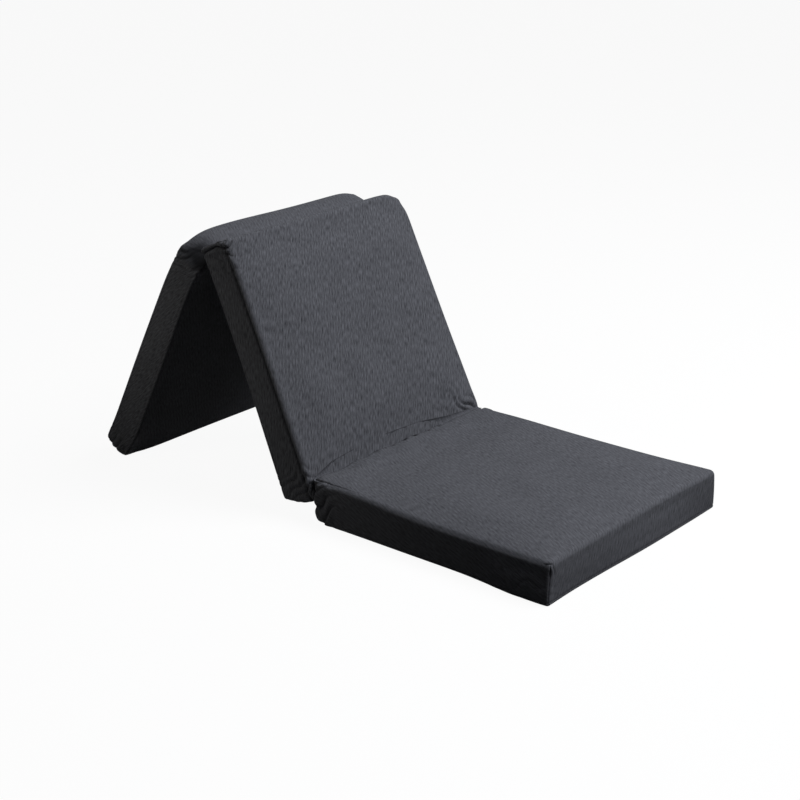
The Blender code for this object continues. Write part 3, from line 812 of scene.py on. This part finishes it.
# The front's foam and cloth swell up along the first fold: an arch across the width
foldPad = {
    "low": 0.076,            # height of its underside, inside the cover
    "rise": 0.0175,
    "sink": 0.0012,
    "back": -0.041,          # it runs from here,
    "full": 0.000,           # falls from here
    "fade": 0.150,           # and ends here
    "halfWidth": 0.286,
    "archAt": (-1.0, -0.95, -0.80, -0.60, -0.30, 0.0, 0.30, 0.60, 0.85, 1.0),
    "arch": (0.25, 0.45, 0.70, 0.90, 1.0, 0.96, 0.86, 0.64, 0.42, 0.25),
    "edgeArch": 0.25,        # where the arch is lower than this, the edge drops by up to edgeDrop
    "edgeDrop": 0.006,
    "waves": (0.0016, 0.075, 4.0),       # height, length and seed
    "rollAt": -0.022,        # over the fold its cloth rolls down
    "rollRun": 0.015,
    "rollDrop": 0.013,
    "puckers": {
        "behind": 0.002, "run": 0.005, "at": 0.05, "spread": 0.12,
        "length": 0.030, "slant": 0.3, "level": 0.1, "seed": 7.0,
    },
    "puckerDepth": 0.004,
    "puckerPaintedShade": 0.005,
    "linePaintedShade": 0.0024,     # painted shade: a dark line where it meets the web
    "lineSpread": 0.004,
    "denseTo": 0.03,         # its lattice is denser up to here
    "counts": (25, 24, 121, 6),
    "restDown": 0.0015,      # it flattens onto this depth below the cover's top
    "keep": 0.06,
}


# Top = the cover's crowned top + rise arch(y) (1 - eased run from full to fade) + waves - sink
# - edgeDrop (1 - arch / edgeArch) - rollDrop arch eased((rollAt - x) / rollRun) - puckers, closed by a
# flat underside inside the cover
def makeFoldPad():
    facts, pucker = foldPad, foldPad["puckers"]
    dense, sparse, across, high = facts["counts"]
    backPart = np.linspace(facts["back"], facts["denseTo"], dense)
    xs = np.concatenate([backPart, np.linspace(facts["denseTo"], facts["fade"], sparse)[1:]])
    ys = np.linspace(-facts["halfWidth"], facts["halfWidth"], across)
    zs = np.linspace(0.0, 1.0, high)
    points, quads, sides = boxLattice(xs, ys, zs)
    x, y, level = points.T
    flat = np.stack([np.maximum(x, 0.0), y, np.full(len(x), section["height"])], axis=1)
    base = pushed(stuffed(flat, drawnEnds["front"]), flat, coverPushes["front"])[:, 2]
    fall = 1.0 - eased((x - facts["full"]) / (facts["fade"] - facts["full"]))
    arch = np.interp(y / facts["halfWidth"], facts["archAt"], facts["arch"])
    waveHeight, waveLength, waveSeed = facts["waves"]
    waves = waveHeight * ripple(x, y, waveLength, waveSeed) * arch * fall
    edgeDrop = facts["edgeDrop"] * (1.0 - np.clip(arch / facts["edgeArch"], 0.0, 1.0))
    rolled = facts["rollDrop"] * arch * eased((facts["rollAt"] - x) / facts["rollRun"])
    top = base + facts["rise"] * arch * fall + waves - facts["sink"] - edgeDrop - rolled
    puckers = bump(x, facts["rollAt"] + pucker["behind"], pucker["run"])
    puckers = puckers * bump(y, pucker["at"], pucker["spread"])
    crests = ripple(y, pucker["slant"] * x, pucker["length"], pucker["seed"]) - pucker["level"]
    puckers = puckers * np.clip(crests, 0.0, 1.0)
    top = top - facts["puckerDepth"] * puckers
    places = np.stack([x, y, facts["low"] + level * (top - facts["low"])], axis=1)
    pad = meshObject("front_fold_swell", toWorld(places, sectionPlace("front")), quads)
    # painted shade in the colour: in the puckers, and along a dark line where the pad meets the web
    line = facts["linePaintedShade"] * arch * bump(x, facts["rollAt"] - pucker["behind"], facts["lineSpread"])
    keepPaintedShade(pad.data, -facts["puckerPaintedShade"] * puckers - line)
    keepSides(pad.data, np.zeros(len(sides)))
    clothUv(pad.data, np.stack([x, y, flat[:, 2]], axis=1))
    pad.data.materials.append(coverMaterial)
    pad = refined(pad)
    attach(pad, "front")
    origin, along, up = sectionPlace("front")
    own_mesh(pad)


makeFoldPad()
print("fold's swell made")

# Sewn webs of doubled cloth that carry the folds
webs = {
    "cloth": 0.0014,
    "halfWidth": 0.293,
    "outside": 0.0009,       # middle of the web's cloth, this far off the faces that it lies on
    "step": 0.0011,          # between points along its path
    "columns": 241,
    "sharp": 0.8,            # form of the pillows' valleys
    "wander": (0.4, 0.2, 0.08, 5),
    "pillowLevel": 0.3,
    "pillowShare": (0.25, 0.75),         # everywhere, and more at pillowAt
    "pillowAt": (0.06, 0.13),
    # share of the pillows' depth painted as shade in the colour
    "paintedShadeShare": 0.7,
    "borderSpread": 0.09,
    "lowBorder": 0.5,        # the lower border's painted shade is this much as dark as the upper one's
}
# Low and high: where the borders lie along the path, at the ends and at the middle of the arch
frontFold = {
    "archAt": (-1.0, -0.93, -0.75, -0.45, -0.1, 0.3, 0.6, 0.85, 1.0),
    "arch": (0.0, 0.30, 0.75, 0.95, 1.0, 0.85, 0.45, 0.20, 0.0),
    "low": (0.050, 0.040),
    "high": (0.070, 0.104),
    "proud": 0.0070,
    "borderPaintedShade": 0.0022,
    "endDrop": 0.0060,
    "sink": 0.0014,
    "gather": 0.0120,
    "pitch": 0.030,
    "rounding": 150,
    "rows": 37,
    "pushes": [],
}
ridgeFold = {
    "archAt": (-1.0, 1.0),
    "arch": (1.0, 1.0),
    "low": (0.0, 0.0),
    "proud": 0.0012,
    "borderPaintedShade": 0.0,
    "endDrop": 0.0,
    "sink": 0.0002,
    "gather": 0.0010,
    "pitch": 0.05,
    "rounding": 6,
    "rows": 41,
    "pushes": [
        ((-0.66, -0.30, 0.58), (0.10, 0.060, 0.10), (0.0, 0.0, -0.006)),
        ((-0.665, -0.30, 0.57), (0.035, 0.040, 0.04), (0.0, 0.030, 0.0)),
        ((-0.66, 0.30, 0.58), (0.10, 0.040, 0.10), (0.0, 0.0, -0.006)),
    ],
}


# Even points along a path of straight runs, with its arc length at each
def alongPath(path, step):
    path = np.array(path)
    lengths = np.concatenate([[0.0], np.cumsum(np.linalg.norm(np.diff(path, axis=0), axis=1))])
    places = np.linspace(0.0, lengths[-1], int(round(lengths[-1] / step)) + 1)
    return np.stack([np.interp(places, lengths, column) for column in path.T], axis=1), places


# Smooths a path's points, but for its two ends: each becomes (before + 2 itself + after) / 4
def rounded(path, times):
    for turn in range(times):
        path[1:-1] = 0.25 * path[:-2] + 0.5 * path[1:-1] + 0.25 * path[2:]
    return path


# A strip of cloth along a path in the x-z plane, carried across the width. At each y it runs from arc
# length low(y) to high(y) of the path, so its sewn borders curve. With t from 0 to 1 between them, it
# stands out by sin(pi t) arch(y) (proud + gather pillow) - sink (1 - sin(pi t)) - endDrop (1 - arch),
# where pillow = share(y) (|sin(pi (y / pitch + wander))|^sharp - level).
def makeWeb(name, path, facts, seed):
    line, arc = alongPath(path, webs["step"])
    line = rounded(line, facts["rounding"])
    ways = np.gradient(line, axis=0)
    ways = ways / np.linalg.norm(ways, axis=1, keepdims=True)
    out = np.stack([-ways[:, 1], ways[:, 0]], axis=1)
    ys = np.linspace(-webs["halfWidth"], webs["halfWidth"], webs["columns"])
    arch = np.interp(ys / webs["halfWidth"], facts["archAt"], facts["arch"])
    share = np.linspace(0.0, 1.0, facts["rows"])
    low = facts["low"][0] + (facts["low"][1] - facts["low"][0]) * arch
    high = facts["high"][0] + (facts["high"][1] - facts["high"][0]) * arch
    t, y = np.meshgrid(share, ys, indexing="ij")
    s = low + (high - low) * t
    swell = np.sin(math.pi * t)
    wander, slant, wanderLength, waves = webs["wander"]
    shift = wander * ripple(y, slant * s, wanderLength, seed, waves)
    puff = np.abs(np.sin(math.pi * (y / facts["pitch"] + shift))) ** webs["sharp"]
    least, more = webs["pillowShare"]
    pillow = (least + more * bump(y, *webs["pillowAt"])) * (puff - webs["pillowLevel"])
    folds = facts["gather"] * pillow * swell * arch
    lift = facts["proud"] * swell * arch - facts["sink"] * (1.0 - swell) + folds
    lift = lift - facts["endDrop"] * (1.0 - arch)
    x = np.interp(s, arc, line[:, 0]) + lift * np.interp(s, arc, out[:, 0])
    z = np.interp(s, arc, line[:, 1]) + lift * np.interp(s, arc, out[:, 1])
    points = np.stack([x, y, z], axis=-1).reshape(-1, 3)
    points = pushed(points, points, facts["pushes"])
    number = np.arange(len(points)).reshape(s.shape)
    quads = np.stack([number[:-1, :-1], number[1:, :-1], number[1:, 1:], number[:-1, 1:]], axis=-1)
    web = meshObject(name, points, quads.reshape(-1, 4)[:, ::-1])
    # painted shade: dark lines along both sewn borders, and in the pillows' valleys
    lines = bump(t, 1.0, webs["borderSpread"]) + webs["lowBorder"] * bump(t, 0.0, webs["borderSpread"])
    border = facts["borderPaintedShade"] * lines * np.minimum(2.0 * arch, 1.0)
    keepPaintedShade(web.data, (webs["paintedShadeShare"] * folds - border).ravel())
    corners = cornerPoints(web.data)
    keepUv(web.data, y.ravel()[corners], s.ravel()[corners])
    web.data.materials.append(webMaterial)
    thick = web.modifiers.new("thick", "SOLIDIFY")
    thick.thickness = webs["cloth"]
    thick.offset = 0.0
    web = applyModifiers(web)
    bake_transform(web)
    return web


# A point of a section's own middle plane, in the world: on a web's path, as x and z, or as a place
def placedPoint(name, x, z):
    return tuple(toWorld(np.array([[x, 0.0, z]]), sectionPlace(name))[0])


def pathPoint(name, x, z):
    return placedPoint(name, x, z)[::2]


webCloth = {**coverCloth, "colour": (0.085, 0.087, 0.098), "dashShare": 0.35}
webMaterial = weaveMaterial("webCloth", webCloth)
height, length = section["height"], section["length"]

# The first web: from the front's top, over its slack edge, to the middle section's face.
frontSeams = {
    "start": 0.032, "edge": -0.022, "slack": 0.0004, "lap": 0.050, "bendFrom": -0.031, "bendTo": 0.004,
}
foldX = length - section["frontReach"]
above = height + webs["outside"]
frontPath = [
    pathPoint("front", frontSeams["start"], above),
    pathPoint("front", frontSeams["edge"], above + frontSeams["slack"]),
    pathPoint("middle", foldX, above),
    pathPoint("middle", foldX - frontSeams["lap"], above),
]
frontWeb = makeWeb(
    "front_fold_web", frontPath, frontFold,
    1.0,
)
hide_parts("front_web", "middle_fold_strip")

# The ridge's web: from the rear's end, past its underside, to the middle section's underside
ridgeSeams = {
    "off": 0.0012, "start": 0.020, "edge": 0.036, "at": 0.0359, "lap": 0.012,
    "bendFrom": 0.030, "bendTo": 0.004,
}
ridgeX, below = ridgeSeams["at"], -webs["outside"]
rearPath = [
    pathPoint("rear", length + ridgeSeams["off"], ridgeSeams["start"]),
    pathPoint("rear", length + ridgeSeams["off"], below),
    pathPoint("rear", length + ridgeSeams["edge"], below),
    pathPoint("middle", ridgeX, below),
    pathPoint("middle", ridgeX + ridgeSeams["lap"], below),
]
ridgeFold["high"] = (0.0, float(alongPath(rearPath, webs["step"])[1][-1]))      # the whole path
rearWeb = makeWeb(
    "ridge_fold_web", rearPath, ridgeFold,
    2.0,
)
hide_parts("rear_web", "middle_ridge_strip")
print("webs made")

# Finishes of the zips, which keep their own solids
zipFinishes = {
    "zip_tape": {
        "colour": (0.035, 0.036, 0.040), "roughness": 0.85, "metallic": 0.0, "specular": 0.2,
        "pitch": 0.0011, "relief": 0.00025,
    },
    "zip_teeth": {
        "colour": (0.030, 0.030, 0.032), "roughness": 0.38, "metallic": 0.0, "specular": 0.5,
        "pitch": 0.0009, "relief": 0.00003,
    },
    "zip_metal": {
        "colour": (0.115, 0.115, 0.120), "roughness": 0.30, "metallic": 1.0, "specular": 0.5,
        "pitch": 0.0030, "relief": 0.00004,
    },
}
# Shared by them: noise cells in a pitch, the noise's share in the roughness, the range of tones and
# the strength of the bump
zipGrain = {"perPitch": 0.5, "detail": 2.0, "roughShare": 0.5, "tones": (0.75, 1.25), "strength": 0.5}


# Relief = sin(2 pi x / pitch) sin(2 pi z / pitch) on the object's own coordinates; a noise shifts the
# roughness and the tone about their means
def zipMaterial(name, finish):
    material = bpy.data.materials.new(name)
    material.use_nodes = True
    tree = material.node_tree
    shader = tree.nodes["Principled BSDF"]
    shader.inputs["Metallic"].default_value = finish["metallic"]
    shader.inputs["Specular IOR Level"].default_value = finish["specular"]
    place = addNode(tree, "ShaderNodeTexCoord")
    noise = addNode(tree, "ShaderNodeTexNoise")
    noise.inputs["Scale"].default_value = zipGrain["perPitch"] / finish["pitch"]
    noise.inputs["Detail"].default_value = zipGrain["detail"]
    tree.links.new(place.outputs["Object"], noise.inputs["Vector"])
    about = mathNode(tree, "SUBTRACT", noise.outputs[0], 0.5)
    shift = mathNode(tree, "MULTIPLY", about, zipGrain["roughShare"])
    tree.links.new(mathNode(tree, "ADD", shift, finish["roughness"]), shader.inputs["Roughness"])
    tone = addNode(tree, "ShaderNodeMix", data_type="RGBA")
    for socket, share in zip("AB", zipGrain["tones"]):
        tone.inputs[socket].default_value = (*[share * part for part in finish["colour"]], 1.0)
    tree.links.new(noise.outputs[0], tone.inputs["Factor"])
    tree.links.new(tone.outputs["Result"], shader.inputs["Base Color"])
    parts = addNode(tree, "ShaderNodeSeparateXYZ")
    tree.links.new(place.outputs["Object"], parts.inputs[0])
    waves = [rows(tree, parts.outputs[axis], finish["pitch"]) for axis in (0, 2)]
    addRelief(tree, shader, mathNode(tree, "MULTIPLY", *waves), zipGrain["strength"], finish["relief"])
    return material


# Which finish a zip's solid has, by its name
def zipKind(name):
    if name.endswith(("slider", "pull")):
        return "zip_metal"
    return "zip_tape" if "_tape_" in name else "zip_teeth"


for slot, finish in zipFinishes.items():
    material = zipMaterial(slot + "_finish", finish)
    for name, node in frame["nodes"].items():
        if "_zip_" in name and zipKind(name) == slot:
            node.data.materials.clear()
            node.data.materials.append(material)
print("zips finished")

# The photo's viewpoint
view = {
    "azimuth": math.radians(42.473),
    "elevation": math.radians(20.062),
    "roll": math.radians(-2.289),
    "lens": 73.88,
    "sensor": 36.0,
    "sight": 200.0,
    "target": (-0.8251, 0.5253, -0.0520),
    "distance": 4.6227,
}


# back = (sin a cos e, -cos a cos e, sin e) points from the target to the camera, and the two ways
# across it are turned by the roll
def placeCamera():
    a, e, roll = view["azimuth"], view["elevation"], view["roll"]
    back = np.array([math.sin(a) * math.cos(e), -math.cos(a) * math.cos(e), math.sin(e)])
    level = np.array([math.cos(a), math.sin(a), 0.0])
    rise = np.cross(back, level)
    right = math.cos(roll) * level + math.sin(roll) * rise
    up = math.cos(roll) * rise - math.sin(roll) * level
    camera = bpy.data.objects.new("camera", bpy.data.cameras.new("camera"))
    bpy.context.scene.collection.objects.link(camera)
    place = np.eye(4)
    place[:3, 0], place[:3, 1], place[:3, 2] = right, up, back
    place[:3, 3] = np.array(view["target"]) + view["distance"] * back
    camera.matrix_world = Matrix(place)
    camera.data.lens = view["lens"]
    camera.data.sensor_width = view["sensor"]
    camera.data.clip_end = view["sight"]
    bpy.context.scene.camera = camera


# Soft studio light: a broad key from the front right and above, a spot on the tent's near side and a
# weak fill. Strengths are in W/m^2 at the place that a lamp points at.
light = {
    "keyAt": (0.0, 0.0, 0.1),
    "keyWay": (0.44, 0.32, 0.84),
    "keyDistance": 4.0,
    "keyStrength": 3.45,
    "keySpread": math.radians(38.0),
    "keyColour": (0.985, 1.0, 1.03),
    "sideAt": (-0.75, -0.30, 0.35),
    "sideWay": (-0.75, -1.70, 0.85),
    "sideDistance": 2.04,
    "sideStrength": 0.62,
    "sideCone": math.radians(36.0),
    "sideRadius": 0.30,
    "sideColour": (1.03, 1.0, 0.90),
    "fill": 0.016,
    "floorBounce": 0.07,
    "floorShadowShare": 0.06,
    "floorHalf": 40.0,
}


# Light that shows the background: rays from the camera, and those that gloss or glass sends on
def seenRays(tree):
    path = tree.nodes.new("ShaderNodeLightPath")
    bounced = [path.outputs["Is " + kind + " Ray"] for kind in ("Glossy", "Transmission")]
    return mathNode(tree, "MAXIMUM", path.outputs["Is Camera Ray"], mathNode(tree, "MAXIMUM", *bounced))


# The key's disc is as wide as keySpread seen from keyAt. Its energy is strength pi (edge distance)^2,
# and the spot's is strength 4 pi distance^2.
def placeLight():
    lamps = {}
    for name, kind in (("key", "AREA"), ("side", "SPOT")):
        lamp = bpy.data.objects.new(name + "Light", bpy.data.lights.new(name + "Light", kind))
        bpy.context.scene.collection.objects.link(lamp)
        lamp.data.color = light[name + "Colour"]
        way = np.array(light[name + "Way"])
        way = way / np.linalg.norm(way)
        lamp.location = np.array(light[name + "At"]) + light[name + "Distance"] * way
        lamp.rotation_euler = (math.acos(way[2]), 0.0, math.atan2(way[1], way[0]) + 0.5 * math.pi)
        lamp.visible_camera = False
        lamps[name] = lamp.data
    halfSpread = 0.5 * light["keySpread"]
    lamps["key"].shape = "DISK"
    lamps["key"].size = 2.0 * light["keyDistance"] * math.tan(halfSpread)
    toEdge = light["keyDistance"] / math.cos(halfSpread)
    lamps["key"].energy = light["keyStrength"] * math.pi * toEdge ** 2
    lamps["side"].spot_size = light["sideCone"]
    lamps["side"].spot_blend = 1.0
    lamps["side"].shadow_soft_size = light["sideRadius"]
    lamps["side"].energy = light["sideStrength"] * 4.0 * math.pi * light["sideDistance"] ** 2
    world = bpy.data.worlds.new("studio")
    bpy.context.scene.world = world
    world.use_nodes = True
    tree = world.node_tree
    backdrop = tree.nodes["Background"]
    strength = mathNode(tree, "MAXIMUM", seenRays(tree), light["fill"])
    tree.links.new(strength, backdrop.inputs["Strength"])
    backdrop.inputs["Color"].default_value = (1.0, 1.0, 1.0, 1.0)


# A flat sheet, white where it is seen and duller where it lights the mattress
def makeFloor():
    corners = ((-1.0, -1.0), (1.0, -1.0), (1.0, 1.0), (-1.0, 1.0))
    points = np.array([[light["floorHalf"] * x, light["floorHalf"] * y, 0.0] for x, y in corners])
    floor = meshObject("floor", points, np.array([[0, 1, 2, 3]]), smooth=False)
    material = bpy.data.materials.new("studioFloor")
    material.use_nodes = True
    tree = material.node_tree
    tree.nodes.remove(tree.nodes["Principled BSDF"])
    output = tree.nodes["Material Output"]
    dull = tree.nodes.new("ShaderNodeBsdfDiffuse")
    dull.inputs["Color"].default_value = (light["floorBounce"],) * 3 + (1.0,)
    pale = tree.nodes.new("ShaderNodeBsdfDiffuse")
    pale.inputs["Color"].default_value = (1.0, 1.0, 1.0, 1.0)
    glow = tree.nodes.new("ShaderNodeEmission")
    shown = tree.nodes.new("ShaderNodeMixShader")
    shown.inputs[0].default_value = light["floorShadowShare"]
    tree.links.new(glow.outputs[0], shown.inputs[1])
    tree.links.new(pale.outputs[0], shown.inputs[2])
    pick = tree.nodes.new("ShaderNodeMixShader")
    tree.links.new(seenRays(tree), pick.inputs[0])
    tree.links.new(dull.outputs[0], pick.inputs[1])
    tree.links.new(shown.outputs[0], pick.inputs[2])
    tree.links.new(pick.outputs[0], output.inputs["Surface"])
    floor.data.materials.append(material)


placeCamera()
placeLight()
makeFloor()
bpy.context.scene.view_settings.view_transform = "Standard"
print("camera, light and floor placed")
